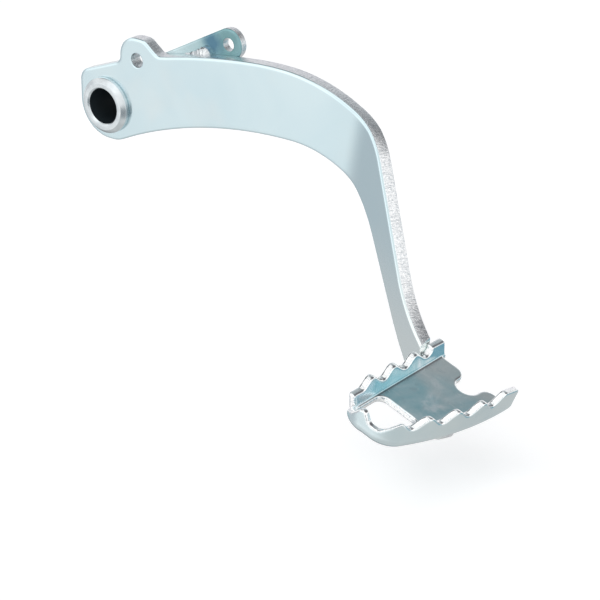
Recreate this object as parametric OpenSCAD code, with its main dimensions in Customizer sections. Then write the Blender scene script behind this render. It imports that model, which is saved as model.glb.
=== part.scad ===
// Rear brake pedal: stamped arm, turned pivot sleeve, push rod lever and folded toe pad.
// Millimetres. Origin on the pivot axis at mid sleeve; +X forward, +Y inboard, +Z up.

/* [Pivot sleeve] */
// bore for the pivot bolt and its bush
bore_d = 17; // [12:0.5:20]
// sleeve length along the pivot axis
sleeve_len = 36; // [30:1:50]
// turned body that passes through the plates
body_d = 23; // [21:0.5:25]
// flange that stops against the outer face of the arm
flange_d = 27; // [26:0.5:32]
// flange thickness
flange_t = 4; // [3:0.5:6]
// chamfer round the flange end
flange_chamfer = 2; // [1:0.25:2.5]
// chamfer at both bore mouths
bore_chamfer = 0.8; // [0.3:0.1:1.5]

/* [Arm plate] */
// plate thickness
arm_t = 6.5; // [5:0.5:8]
// radius of the round end about the pivot
hub_r = 17; // [16.5:0.5:20]
// gap between the sleeve body and the plate holes
body_clear = 0.1; // [0.05:0.05:0.4]
// return spring hole in the lug
lug_hole_d = 7; // [5:0.5:9]
// lug hole forward of the pivot
lug_x = 19; // [17:0.5:21]
// lug hole above the pivot
lug_z = 25.7; // [25:0.1:27]

/* [Arm bend] */
// angle the leg is turned outward
bend_angle = 20; // [18:0.5:21]
// bend radius on the outer face
bend_r = 34; // [28:1:40]
// forward place of the bend line
bend_x = 145.7; // [144:0.1:147]
// height of the bend line
bend_z = 10; // [6:1:14]
// lean of the bend line from upright
bend_lean = 11; // [8:1:14]

/* [Push rod lever] */
// lever plate thickness
lever_t = 4; // [3:0.5:5]
// pivot to rod pin distance
lever_reach = 80.5; // [76:0.5:84]
// rise of the lever above level
lever_angle = 31.4; // [29:0.2:33]
// rod pin hole
pin_hole_d = 6.2; // [5.2:0.1:8.2]
// round end about the pin hole
lever_tip_r = 7.5; // [6.5:0.5:9]
// half width of the lever at the pivot
lever_root_r = 12.3; // [12:0.1:14]
// ring of lever plate about the sleeve
lever_ring_r = 16; // [15:0.5:17]

/* [Toe pad] */
// sheet thickness
pad_t = 3.2; // [2.5:0.1:4]
// forward place of the inner rear fold
pad_x = 202; // [201.5:0.5:203]
// height of the inner rear fold
pad_z = -66.8; // [-67.6:0.1:-66]
// floor pitch, front edge down
pad_pitch = 20; // [18:0.5:22]
// inboard edge of the floor and the front lip
pad_in_y = -25.9; // [-27:0.1:-25]
// inboard end of the rear flange
flange_in_y = -23.6; // [-24.6:0.2:-22.6]
// outboard end of the rear flange
flange_out_y = -89.6; // [-90.4:0.1:-88]
// outboard closed end
pad_out_y = -98.5; // [-100:0.5:-97]
// rear fold to the front face of the pad
pad_depth = 39.2; // [37:0.2:42]
// curve of the front lip seen from above
pad_front_r = 170; // [150:5:200]
// front outer corner seen from above
pad_corner_r = 13; // [11:0.5:15]
// bend radius inside the front lip
pad_bend_r = 3; // [2:0.25:4]
// outward lean of the front lip
lip_lean = 4; // [2:1:6]
// set back of the lip end from the floor edge
lip_set = 1.2; // [0:0.2:2.5]

/* [Pad teeth] */
// middle height of the front tooth line above the floor
front_h = 11.2; // [10:0.2:12]
// front tooth pitch
front_pitch = 14.5; // [13:0.5:16]
// rear tooth pitch
rear_pitch = 15.5; // [14:0.5:17]
// half height of the front teeth
front_wave = 2.2; // [1:0.1:2.5]
// half height of the rear teeth
rear_wave = 1.7; // [1:0.1:2.2]
// middle height of the rear tooth line at the outboard end
rear_h_out = 6.9; // [6:0.1:9]
// middle height of the rear tooth line at the inboard end
rear_h_in = 4.6; // [4:0.1:6]

/* [Pad openings] */
// mud window, inboard edge
window_in_y = -71.2; // [-73:0.2:-69]
// mud window, outboard edge
window_out_y = -91.5; // [-92.5:0.5:-88]
// mud window, rear edge from the fold
window_rear = 1; // [0.5:0.25:3]
// web between the front face of the pad and the mud window
window_web = 6; // [4:0.5:9]
// notch in the inboard floor edge, width
notch_w = 10.5; // [8:0.5:12]
// notch depth
notch_deep = 11.6; // [9:0.2:13]
// notch middle from the fold
notch_mid = 19.2; // [18:0.2:21]
// rounding of the notch mouth
notch_mouth_r = 5; // [2:0.5:6]

/* [Welds] */
// leg of the bead round the sleeve
sleeve_weld = 3; // [2:0.5:4]
// radius of the lever beads
lever_weld_r = 3; // [2:0.25:3.5]
// start of the bead on the upper edge of the arm, forward of the pivot
top_weld_x = 43; // [40:0.5:48]
// length of that bead
top_weld_len = 16.5; // [12:0.5:22]
// start of the bead along the lower side of the lever
low_weld_from = 24; // [20:1:28]
// length of that bead
low_weld_len = 34; // [25:1:38]
// radius of the pad beads
pad_weld_r = 3; // [2:0.25:4]
// start of the pad beads from the fold
pad_weld_from = 1; // [0:0.5:3]
// length of the pad beads
pad_weld_len = 10; // [8:0.5:12]

/* [Hidden] */
y_out = -sleeve_len / 2;
y_face = y_out + flange_t;
y_back = y_face + arm_t;
y_lever = y_back + lever_t;
hole_d = body_d + 2 * body_clear;
bend_half = bend_r * tan(bend_angle / 2);
pin_x = lever_reach * cos(lever_angle);
pin_z = lever_reach * sin(lever_angle);
steps = 8;

// points of an arc that starts at p with heading h and turns by s degrees on radius r
function arc_pts(p, h, r, s) =
  let(n = max(2, ceil(abs(s) / 4), ceil(abs(s) * r / 280)), k = s > 0 ? 1 : -1)
  [for (i = [1 : n]) let(a = h + s * i / n) [p[0] + k * r * (sin(a) - sin(h)), p[1] + k * r * (cos(h) - cos(a))]];
function last(v) = v[len(v) - 1];
function step_to(p, h, d) = [p[0] + d * cos(h), p[1] + d * sin(h)];

// corner of a polygon rounded with radius r
function corner(a, b, c, r) =
  let(u = (a - b) / norm(a - b), v = (c - b) / norm(c - b))
  let(half = acos(u * v) / 2, m = (u + v) / norm(u + v), o = b + m * r / sin(half))
  let(s = b + u * r / tan(half), e = b + v * r / tan(half))
  let(a0 = atan2(s[1] - o[1], s[0] - o[0]), a1 = atan2(e[1] - o[1], e[0] - o[0]))
  let(d = (a1 - a0) > 180 ? a1 - a0 - 360 : ((a1 - a0) < -180 ? a1 - a0 + 360 : a1 - a0), n = max(2, ceil(abs(d) / 7)))
  [for (i = [0 : n]) let(t = a0 + d * i / n) [o[0] + r * cos(t), o[1] + r * sin(t)]];

// lower edge of the arm, from the hub to the tip of the foot
low_0 = [109, 7];
low_a = [for (i = [8 : -1 : 1]) let(a = 2.9 * i) [low_0[0] - 235 * sin(a), low_0[1] - 235 * (1 - cos(a))]];
low_start = corner([-8, -hub_r], [5.5, -hub_r], low_a[0], 16);
low_b = arc_pts(low_0, 0, 60, -59.5);
low_c = step_to(last(low_b), -59.5, 36);
low_d = arc_pts(low_c, -59.5, 140, 10.5);
low_e = step_to(last(low_d), -49, 27.5);
low_f = arc_pts(low_e, -49, 6.5, 149);
low_g = step_to(last(low_f), 100, 17);

// upper edge of the arm, from the lug to the rear of the toe pad
up_0 = [38, 31.3];
up_a = arc_pts(up_0, 13, 350, -8);
up_b = arc_pts(last(up_a), 5, 165, -6.5);
up_c = arc_pts(last(up_b), -1.5, 88, -33.5);
up_d = arc_pts(last(up_c), -35, 30, -31.5);
up_e = step_to(last(up_d), -66.5, 50);
up_f = arc_pts(up_e, -66.5, 60, 26.5);
up_g = step_to(last(up_f), -40, 8);
up_i = [low_g[0] - 14, low_g[1] + 5.4];
upper = concat([up_0], up_a, up_b, up_c, up_d, [up_e], up_f, [up_g, up_i]);
lower = concat(low_start, low_a, [low_0], low_b, [low_c], low_d, [low_e], low_f, [low_g]);

// squared top corner of the hub and the lug with its two fillets
head_a = corner([-17, 0], [-17, 13.6], [8.4, 23.1], 6.5);
head_b = corner([-17, 13.6], [8.4, 23.1], [8.4, 36.3], 4);
head_c = corner([8.4, 23.1], [8.4, 36.3], [23.5, 36.3], 9.8);
head_d = corner([8.4, 36.3], [23.5, 36.3], [31.5, 30.1], 7);
head_e = corner([23.5, 36.3], [31.5, 30.1], up_0, 5);
head = concat([[-hub_r, 0]], head_a, head_b, head_c, head_d, head_e);

module plate_2d() {
  circle(r = hub_r, $fn = 96);
  polygon(concat(head, upper, [for (i = [len(lower) - 1 : -1 : 0]) lower[i]], [[0, -hub_r]]));
}

// frame with the bend line as its upright axis
module at_bend() {
  translate([bend_x, 0, bend_z]) rotate([0, bend_lean, 0]) children();
}

// the flat plate outline as a prism in that frame
module plate_prism(y0, y1) {
  translate([0, y1, 0]) rotate([90, 0, 0]) linear_extrude(y1 - y0)
    rotate(bend_lean) translate([-bend_x, -bend_z]) plate_2d();
}

// turned about the bend axis by a degrees, with plate length s brought to the tangent
module turned(a, s) {
  translate([-bend_half, y_face - bend_r, 0]) rotate([0, 0, -a])
    translate([-s, bend_r - y_face, 0]) children();
}

module half_left(x) {
  translate([x - 300, -60, -200]) cube([300, 120, 400]);
}

module half_right(x) {
  translate([x, -60, -200]) cube([300, 120, 400]);
}

// height of an outline polyline where it crosses plate length x, both in the bend frame
function in_bend(v) = [for (p = v) let(d = p - [bend_x, bend_z])
  [cos(bend_lean) * d[0] - sin(bend_lean) * d[1], sin(bend_lean) * d[0] + cos(bend_lean) * d[1]]];
function cross_z(v, x) = [for (i = [0 : len(v) - 2]) let(a = v[i], b = v[i + 1])
  if ((a[0] - x) * (b[0] - x) <= 0 && a[0] != b[0]) a[1] + (b[1] - a[1]) * (x - a[0]) / (b[0] - a[0])][0];

// point at radius r and bend angle a, in the bend frame seen from above
function on_bend(r, a) = [r * sin(a) - bend_half, r * cos(a) + y_face - bend_r];

// the plate before its outline is cut: two flats and the bend between them
module bent_slab() {
  far = 200 * [cos(bend_angle), -sin(bend_angle)];
  n = 2 * steps;
  front = [for (i = [0 : n]) on_bend(bend_r, bend_angle * i / n)];
  back = [for (i = [n : -1 : 0]) on_bend(bend_r + arm_t, bend_angle * i / n)];
  translate([0, 0, -200]) linear_extrude(400)
    polygon(concat([[-250, y_face]], front, [last(front) + far, back[0] + far], back, [[-250, y_back]]));
}

// body between the two bent plate edges, thicker than the plate and a trace wider
over = 0.02;
module bend_body() {
  top = in_bend(upper);
  low = in_bend(lower);
  angles = concat([-0.5], [for (i = [0 : steps - 1]) bend_angle * (i + 0.4) / steps], [bend_angle + 0.5]);
  n = len(angles) - 1;
  pts = [for (a = angles) let(x = bend_half * (2 * a / bend_angle - 1), z0 = cross_z(low, x) - over, z1 = cross_z(top, x) + over)
    for (c = [[bend_r - 2, z0], [bend_r + arm_t + 2, z0], [bend_r + arm_t + 2, z1], [bend_r - 2, z1]])
      [on_bend(c[0], a)[0], on_bend(c[0], a)[1], c[1]]];
  sides = [for (i = [0 : n - 1]) for (j = [0 : 3]) let(a = 4 * i + j, b = 4 * i + (j + 1) % 4)
    for (f = [[a, a + 4, b], [b, a + 4, b + 4]]) f];
  ends = [[0, 1, 2], [0, 2, 3], [4 * n, 4 * n + 2, 4 * n + 1], [4 * n, 4 * n + 3, 4 * n + 2]];
  polyhedron(points = pts, faces = concat(sides, ends), convexity = 4);
}

// what lies outside the plate outline on the flat, at the bend and on the leg
module beside_flat() {
  difference() {
    half_left(over - bend_half);
    plate_prism(-70, 70);
  }
}

module beside_bend() {
  c = on_bend(0, 0);
  difference() {
    translate([0, 0, -210]) linear_extrude(420) polygon([c, on_bend(80, 0), on_bend(80, bend_angle / 2), on_bend(80, bend_angle)]);
    bend_body();
  }
}

module beside_leg() {
  turned(bend_angle, bend_half) difference() {
    half_right(bend_half - over);
    plate_prism(-70, 70);
  }
}

module arm_leg() {
  at_bend() turned(bend_angle, bend_half) intersection() {
    plate_prism(y_face, y_back);
    half_right(bend_half);
  }
}

// space the pad and its rear flange take, for the seat on the foot
module pad_seat() {
  translate([pad_x, 0, pad_z]) rotate([0, pad_pitch, 0])
    translate([-40, -130, -pad_t]) cube([140, 130, 60]);
}

module behind_flange() {
  translate([pad_x - pad_t - 60, -130, pad_z - 40]) cube([60, 130, 90]);
}

module pedal_arm() {
  color("lightsteelblue") difference() {
    at_bend() difference() {
      bent_slab();
      beside_flat();
      beside_bend();
      beside_leg();
    }
    rotate([90, 0, 0]) cylinder(d = hole_d, h = 80, center = true, $fn = 96);
    translate([lug_x, 0, lug_z]) rotate([90, 0, 0]) cylinder(d = lug_hole_d, h = 80, center = true, $fn = 64);
    difference() {
      pad_seat();
      behind_flange();
    }
  }
}

module pivot_sleeve() {
  r1 = flange_d / 2;
  rb = bore_d / 2;
  c = bore_chamfer;
  y1 = sleeve_len / 2;
  color("silver") rotate([-90, 0, 0]) rotate_extrude($fn = 128)
    polygon([[rb + c, y_out], [r1 - flange_chamfer, y_out], [r1, y_out + flange_chamfer], [r1, y_face],
      [body_d / 2, y_face], [body_d / 2, y1 - c], [body_d / 2 - c, y1], [rb + c, y1], [rb, y1 - c], [rb, y_out + c]]);
}

// lever outline: ring about the sleeve, straight edges and the round tip
module lever_2d() {
  k = asin((lever_root_r - lever_tip_r) / lever_reach);
  circle(r = lever_ring_r, $fn = 96);
  rotate(lever_angle) polygon(concat([[lever_root_r * sin(k), -lever_root_r * cos(k)]],
    [for (i = [0 : 24]) let(a = (90 - k) * (i / 12 - 1)) [lever_reach + lever_tip_r * cos(a), lever_tip_r * sin(a)]],
    [[lever_root_r * sin(k), lever_root_r * cos(k)]]));
}

module push_rod_lever() {
  color("cadetblue") difference() {
    translate([0, y_lever, 0]) rotate([90, 0, 0]) linear_extrude(lever_t) lever_2d();
    rotate([90, 0, 0]) cylinder(d = hole_d, h = 80, center = true, $fn = 96);
    translate([pin_x, 0, pin_z]) rotate([90, 0, 0]) cylinder(d = pin_hole_d, h = 80, center = true, $fn = 64);
  }
}

// pad outline seen from above at inset d, with its rear line at p
front_c = [pad_depth - pad_front_r, pad_in_y - 0.7];
corner_q = pad_out_y + pad_corner_r;
corner_p = front_c[0] + sqrt(pow(pad_front_r - pad_corner_r, 2) - pow(corner_q - front_c[1], 2));
corner_a = atan2(corner_q - front_c[1], corner_p - front_c[0]);
rear_r = 12;
window_r = 4;
window_front = front_c[0] + sqrt(pow(pad_front_r, 2) - pow(window_out_y + window_r - front_c[1], 2)) - window_web;
function pad_plan(d, p) =
  let(r = pad_front_r - d, rc = pad_corner_r - d, rr = max(0.5, rear_r - d), q0 = pad_out_y + d)
  concat([[p, 12]], [[pad_depth - d, 12]],
    [for (i = [0 : 8]) let(a = corner_a * i / 8) [front_c[0] + r * cos(a), front_c[1] + r * sin(a)]],
    [for (i = [1 : 7]) let(a = corner_a - (90 + corner_a) * i / 7) [corner_p + rc * cos(a), corner_q + rc * sin(a)]],
    [for (i = [0 : 4]) let(a = -90 - 90 * i / 4) [p + rr + rr * cos(a), q0 + rr + rr * sin(a)]]);

// one thin slice of the pad outline at height h above the floor
module pad_slice(h, d, p) {
  translate([0, 0, h]) linear_extrude(0.02) polygon(pad_plan(d, p));
}

tp = tan(pad_pitch);
rear_out = pad_t / cos(pad_pitch);
bo = pad_bend_r + pad_t;

module pad_outer() {
  hull() {
    pad_slice(-pad_t, bo, 0.2 - rear_out + pad_t * tp + 2);
    pad_slice(-pad_t + bo * (1 - cos(22.5)), bo * (1 - sin(22.5)), pad_t * tp - rear_out + 0.7);
    pad_slice(-pad_t + bo * (1 - cos(45)), bo * (1 - sin(45)), -rear_out + 0.9);
    pad_slice(-pad_t + bo * (1 - cos(67.5)), bo * (1 - sin(67.5)), -rear_out - 0.2);
    pad_slice(pad_bend_r, 0, -rear_out - pad_bend_r * tp);
    pad_slice(20, (pad_bend_r - 20) * tan(lip_lean), -rear_out - 20 * tp);
  }
}

module pad_inner() {
  hull() {
    pad_slice(0, bo, 0.7);
    pad_slice(pad_bend_r * (1 - cos(30)), pad_t + pad_bend_r * (1 - sin(30)), 0.1);
    pad_slice(pad_bend_r * (1 - cos(60)), pad_t + pad_bend_r * (1 - sin(60)), -pad_bend_r * (1 - cos(60)) * tp);
    pad_slice(pad_bend_r, pad_t, -pad_bend_r * tp);
    pad_slice(21, pad_t + (pad_bend_r - 21) * tan(lip_lean), -21 * tp);
  }
}

// tooth lines as heights above the floor, q along the pad
front_tip = pad_in_y - 11.5;
rear_tip = flange_in_y - 5.8;
rear_low = rear_tip - 3.5 * rear_pitch;
function front_edge(q) = q > front_tip ? front_h + front_wave - 0.2 * (q - front_tip)
  : front_h + front_wave * cos(360 * (q - front_tip) / front_pitch);
function rear_mid(q) = rear_h_out + (rear_h_in - rear_h_out) * (q - flange_out_y - 4) / (flange_in_y - flange_out_y - 6);
function rear_edge(q) = q > rear_tip - rear_pitch / 4 ? rear_mid(q) + rear_wave - 0.4
  : rear_mid(q) + rear_wave * (q < rear_low ? -1 : cos(360 * (q - rear_tip) / rear_pitch));

module front_cut() {
  n = 60;
  q0 = pad_out_y - 4;
  q1 = pad_in_y + 4;
  translate([60, 0, 0]) rotate([90, 0, -90]) linear_extrude(44)
    polygon(concat([[-q0, 40]], [for (i = [0 : n]) let(q = q0 + (q1 - q0) * i / n) [-q, front_edge(q)]], [[-q1, 40]]));
}

module rear_cut() {
  n = 60;
  q0 = flange_out_y - 1;
  q1 = flange_in_y + 2;
  translate([12, 0, 0]) rotate([90, 0, -90]) linear_extrude(50)
    polygon(concat([[-q0, 40]], [for (i = [0 : n]) let(q = q0 + (q1 - q0) * i / n) [-q, rear_edge(q)]], [[-q1, 40]]));
}

// low tooth of the outboard wall and the dip beside it, as heights along p
wall_line = concat([[-20, 1.6], [-1, 2]], corner([-1, 2], [3.2, 4], [7.4, 9.6], 4), corner([3.2, 4], [7.4, 9.6], [9.7, 9.6], 1.8),
  corner([7.4, 9.6], [9.7, 9.6], [13, 5.2], 1.8), corner([9.7, 9.6], [13, 5.2], [18, 5.2], 3), corner([13, 5.2], [18, 5.2], [24.5, 12], 4), [[24.5, 12]]);
module wall_cut() {
  translate([0, flange_out_y - 1, 0]) rotate([90, 0, 0]) linear_extrude(30)
    polygon(concat([[-20, 40]], wall_line, [[24.5, 40]]));
}

// corner of the notch mouth, s = 1 at its front side and -1 at its rear side
module mouth_round(s) {
  r = notch_mouth_r;
  translate([notch_mid + s * notch_w / 2, pad_in_y, -20]) difference() {
    translate([s > 0 ? -1 : -r, -r, 0]) cube([r + 1, r + 1, 30]);
    translate([s * r, -r, -1]) cylinder(r = r, h = 32, $fn = 48);
  }
}

module toe_pad() {
  color("paleturquoise") translate([pad_x, 0, pad_z]) rotate([0, pad_pitch, 0]) difference() {
    pad_outer();
    pad_inner();
    translate([0.6, pad_in_y, -30]) cube([100, 60, 80]);
    translate([-60, flange_in_y, -30]) cube([160, 60, 80]);
    translate([-60, flange_out_y - 60, -30]) cube([59.6, 60, 80]);
    front_cut();
    rear_cut();
    wall_cut();
    translate([window_rear + window_r, window_out_y + window_r, -20]) {
      translate([-window_r, 0, 0]) cube([window_front - window_rear, window_in_y - window_out_y - 2 * window_r, 30]);
      translate([0, -window_r, 0]) cube([window_front - window_rear - 2 * window_r, window_in_y - window_out_y, 30]);
    }
    for (p = [window_rear + window_r, window_front - window_r], q = [window_out_y + window_r, window_in_y - window_r])
      translate([p, q, -20]) cylinder(r = window_r, h = 30, $fn = 48);
    translate([notch_mid, pad_in_y - notch_deep + notch_w / 2, -20]) {
      cylinder(d = notch_w, h = 30, $fn = 48);
      translate([-notch_w / 2, 0, 0]) cube([notch_w, 40, 30]);
    }
    mouth_round(1);
    mouth_round(-1);
    translate([pad_depth - 6, pad_in_y - lip_set, 2]) cube([30, 40, 40]);
  }
}

module weld_sleeve() {
  r = body_d / 2;
  color("darkgray") rotate([-90, 0, 0]) rotate_extrude($fn = 96)
    polygon([[r, y_lever], [r + sleeve_weld, y_lever], [r + sleeve_weld * 0.55, y_lever + sleeve_weld * 0.55], [r, y_lever + sleeve_weld]]);
}

module weld_lever_top() {
  z0 = cross_z(upper, top_weld_x);
  z1 = cross_z(upper, top_weld_x + top_weld_len);
  color("darkgray") difference() {
    translate([top_weld_x, y_back, z0]) rotate([0, 90 - atan2(z1 - z0, top_weld_len), 0])
      cylinder(r = lever_weld_r, h = top_weld_len, $fn = 32);
    translate([0, y_back, 0]) rotate([90, 0, 0]) linear_extrude(20) plate_2d();
    translate([0, y_back, -50]) cube([200, 20, 200]);
  }
}

module weld_lever_low() {
  k = asin((lever_root_r - lever_tip_r) / lever_reach);
  color("darkgray") difference() {
    rotate([0, -lever_angle, 0]) translate([low_weld_from, y_back, -lever_root_r / cos(k) + low_weld_from * tan(k)])
      rotate([0, 90 - k, 0]) cylinder(r = lever_weld_r, h = low_weld_len, $fn = 32);
    translate([0, y_back + 20, 0]) rotate([90, 0, 0]) linear_extrude(20) lever_2d();
    translate([-50, y_back - 20, -100]) cube([200, 20, 200]);
  }
}

// point under the pad floor, s forward of the fold and c behind the outer face of the leg
e1 = [cos(pad_pitch), 0, -sin(pad_pitch)];
e3 = [sin(pad_pitch), 0, cos(pad_pitch)];
leg_u = [cos(bend_lean), 0, -sin(bend_lean)];
leg_n = [sin(bend_angle) * leg_u[0], cos(bend_angle), sin(bend_angle) * leg_u[2]];
leg_p = [bend_x, y_face - bend_r, bend_z] - bend_half * leg_u + bend_r * leg_n;
function under(s, c) =
  let(b = [pad_x, 0, pad_z] + s * e1 - pad_t * e3)
  [b[0], (c - (b - leg_p) * leg_n) / leg_n[1], b[2]];

// round bar from a to b
module bar(a, b, r) {
  d = b - a;
  translate(a) rotate([0, acos(d[2] / norm(d)), atan2(d[1], d[0])]) cylinder(r = r, h = norm(d), $fn = 32);
}

module pad_bead(c) {
  color("darkgray") difference() {
    bar(under(pad_weld_from, c), under(pad_weld_from + pad_weld_len, c), pad_weld_r);
    arm_leg();
    pad_seat();
  }
}

module weld_pad_outer() {
  pad_bead(0);
}

module weld_pad_inner() {
  pad_bead(arm_t);
}

pedal_arm();
pivot_sleeve();
push_rod_lever();
toe_pad();
weld_sleeve();
weld_lever_top();
weld_lever_low();
weld_pad_outer();
weld_pad_inner();
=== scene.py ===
import math

import bmesh
import bpy
import numpy as np
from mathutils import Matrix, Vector
from mathutils.geometry import delaunay_2d_cdt


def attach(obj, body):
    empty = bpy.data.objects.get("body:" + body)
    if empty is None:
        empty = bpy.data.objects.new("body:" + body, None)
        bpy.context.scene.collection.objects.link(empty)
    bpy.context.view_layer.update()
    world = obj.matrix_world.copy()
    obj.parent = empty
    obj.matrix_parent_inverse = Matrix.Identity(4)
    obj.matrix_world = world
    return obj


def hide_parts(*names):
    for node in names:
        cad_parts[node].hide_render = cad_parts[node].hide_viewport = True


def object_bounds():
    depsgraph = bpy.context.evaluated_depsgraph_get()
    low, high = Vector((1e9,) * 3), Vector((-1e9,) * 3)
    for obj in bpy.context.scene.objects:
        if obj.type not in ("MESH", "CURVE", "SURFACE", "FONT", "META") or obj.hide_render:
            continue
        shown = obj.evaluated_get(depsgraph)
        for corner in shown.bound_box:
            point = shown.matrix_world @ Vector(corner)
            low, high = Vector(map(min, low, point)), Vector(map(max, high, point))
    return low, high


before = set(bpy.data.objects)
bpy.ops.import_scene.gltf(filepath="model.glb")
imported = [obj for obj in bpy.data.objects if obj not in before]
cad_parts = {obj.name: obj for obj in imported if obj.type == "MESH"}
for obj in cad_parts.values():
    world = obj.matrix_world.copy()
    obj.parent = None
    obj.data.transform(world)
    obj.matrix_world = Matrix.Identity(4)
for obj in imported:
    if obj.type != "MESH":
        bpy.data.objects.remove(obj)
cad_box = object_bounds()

MM = 0.001
rad = math.radians

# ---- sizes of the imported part, in millimetres and degrees ----
# y of the flange's face, the arm's face and back, the lever's back and the sleeve's inboard end
Y_OUT, Y_FACE, Y_BACK, Y_LEVER, Y_IN = -18.0, -14.0, -7.5, -3.5, 18.0
BORE_R, BODY_R, FLANGE_R, HUB_R = 8.5, 11.5, 13.5, 17.0
ARM_T, LEVER_T = 6.5, 4.0
PIVOT_FIT = 0.1
LUG_HOLE, LUG_HOLE_R = (19.0, 25.7), 3.5
# the arm's bend: turn and radius, a point of its line in the side view, and that line's lean
BEND_A, BEND_R, BEND_X, BEND_Z, LEAN = 20.0, 34.0, 145.7, 10.0, 11.0
BEND_HALF = BEND_R * math.tan(rad(BEND_A / 2))
# the lever: pivot to pin hole, rise, radii of pin hole, tip, root and ring, and its flanks' taper
REACH, RISE, PIN_R, TIP_R, ROOT_R, RING_R = 80.5, 31.4, 3.1, 7.5, 12.3, 16.0
TAPER = math.asin((ROOT_R - TIP_R) / REACH)
# the pad: sheet, place and pitch of its floor, and y of its ends and of its rear flange's ends
PAD_T, PAD_X, PAD_Z, PITCH = 3.2, 202.0, -66.8, 20.0
PAD_IN, FL_IN, FL_OUT, PAD_OUT = -25.9, -23.6, -89.6, -98.5
# its depth, radii in plan of the front, front corner and rear corner, and the folds' radii
DEPTH, FRONT_R, CORNER_R, REAR_R = 39.2, 170.0, 13.0, 12.0
FOLD_R, REAR_FOLD_OUT, REAR_FOLD_IN = 3.0, 3.8, 1.3
# the lip's lean outward, and how far its end stands in from the pad's open end
LIP_LEAN, LIP_SET = 4.0, 1.2
# its teeth: middle height, half the wave's height, pitch, and the first crest from the open end
FRONT_H, FRONT_WAVE, FRONT_PITCH, FRONT_FIRST = 11.2, 2.2, 14.5, 11.5
REAR_OUT, REAR_IN, REAR_WAVE, REAR_PITCH, REAR_FIRST = 6.9, 4.6, 1.7, 15.5, 5.8
WIN_IN, WIN_OUT, WIN_REAR, WIN_WEB, WIN_R = -71.2, -91.5, 1.0, 6.0, 4.0
NOTCH_MID, NOTCH_W, NOTCH_DEEP, MOUTH_R = 19.2, 10.5, 11.6, 5.0

# the arm's edges in the side view, as walk() takes them
TOP_START, TOP_HEADING, TOP_ARC = (38.0, 31.3), 13, (350, -8)
TOP_PATH = [TOP_ARC, (165, -6.5), (88, -33.5), (30, -31.5, 0.5), (50,), (60, 26.5), (8,)]
LOW_START, LOW_R, LOW_SPAN = (109.0, 7.0), 235, 23.2
LOW_PATH = [(60, -59.5), (36,), (140, 10.5), (27.5,), (6.5, 149, 0.4), (17,)]
HUB_LOW, HUB_FILLET_R = [(-8, -HUB_R), (5.5, -HUB_R)], 16
TOE_W, TOE_UP, TOE_R = 14, 5.4, 4
LUG_LINE = [(-17.0, 0.0), (-17, 13.6), (8.4, 23.1), (8.4, 36.3), (23.5, 36.3), (31.5, 30.1), TOP_START]
LUG_RADII = [6.5, 4, 9.8, 7, 5]
OUTLINE_STEP, SAME_POINT = 1.2, 1e-6

# the low tooth at the pad's closed end, and the line behind and ahead of it: how far forward and how high
TOOTH_BEHIND, TOOTH_AHEAD = [(-20, 1.6), (-1, 2)], [(24.5, 12), (29, 16.7)]
TOOTH_LINE = [(-1, 2), (3.2, 4), (7.4, 9.6), (9.7, 9.6), (13, 5.2), (18, 5.2), (24.5, 12)]
TOOTH_RADII = [4, 1.8, 1.8, 3, 4]


# ---- plane curves ----
def cos_sin(degrees):
    return math.cos(rad(degrees)), math.sin(rad(degrees))


def polar(centre, radius, angles):
    """Points round a centre, at angles in radians."""
    return [(centre[0] + radius * math.cos(a), centre[1] + radius * math.sin(a)) for a in angles]


def circle(centre, radius, n):
    return polar(centre, radius, [2 * math.pi * i / n for i in range(n)])


def arc(p, heading, radius, turn, spacing=0.7):
    """Points after p on an arc that sets out at a heading and turns, left where turn is positive."""
    n = max(2, math.ceil(abs(rad(turn)) * radius / spacing))
    side = radius if turn > 0 else -radius
    first = rad(heading)
    angles = [rad(heading + turn * i / n) for i in range(1, n + 1)]
    return [(p[0] + side * (math.sin(a) - math.sin(first)), p[1] + side * (math.cos(first) - math.cos(a)))
            for a in angles]


def walk(p, heading, stretches):
    """Points after p along stretches: (length,) is straight, (radius, turn) or with spacing an arc."""
    out = []
    for stretch in stretches:
        if len(stretch) == 1:
            c, s = cos_sin(heading)
            out.append((p[0] + stretch[0] * c, p[1] + stretch[0] * s))
        else:
            out += arc(p, heading, *stretch)
            heading += stretch[1]
        p = out[-1]
    return out


def corner(a, b, c, radius, step=4):
    """The fillet at b between the lines to a and c, with a point about every step degrees."""
    a, b, c = (np.array(v, float) for v in (a, b, c))
    u, v = (a - b) / np.linalg.norm(a - b), (c - b) / np.linalg.norm(c - b)
    half = math.acos(float(u @ v)) / 2
    centre = b + (u + v) / np.linalg.norm(u + v) * radius / math.sin(half)
    ends = b + u * radius / math.tan(half), b + v * radius / math.tan(half)
    first, last = (math.atan2(*(w - centre)[::-1]) for w in ends)
    turn = (last - first + math.pi) % (2 * math.pi) - math.pi
    n = max(3, math.ceil(math.degrees(abs(turn)) / step))
    return polar(centre, radius, [first + turn * i / n for i in range(n + 1)])


def bends(line, radii):
    """The fillets at the inner points of an open line."""
    corners = zip(line, line[1:], line[2:], radii)
    return [p for a, b, c, radius in corners for p in corner(a, b, c, radius)]


def rounded(points, radii, step=15):
    """A closed profile with its corners rounded."""
    out = []
    for i, radius in enumerate(radii):
        a, b, c = points[i - 1], points[i], points[(i + 1) % len(points)]
        out += [b] if radius == 0 else corner(a, b, c, radius, step)
    return out


def dense(points, step):
    """The closed outline with its long sides split."""
    out = []
    for a, b in zip(points, points[1:] + points[:1]):
        d = math.dist(a, b)
        if d < SAME_POINT:
            continue
        n = max(1, math.ceil(d / step))
        out += [(a[0] + (b[0] - a[0]) * i / n, a[1] + (b[1] - a[1]) * i / n) for i in range(n)]
    return out


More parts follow.
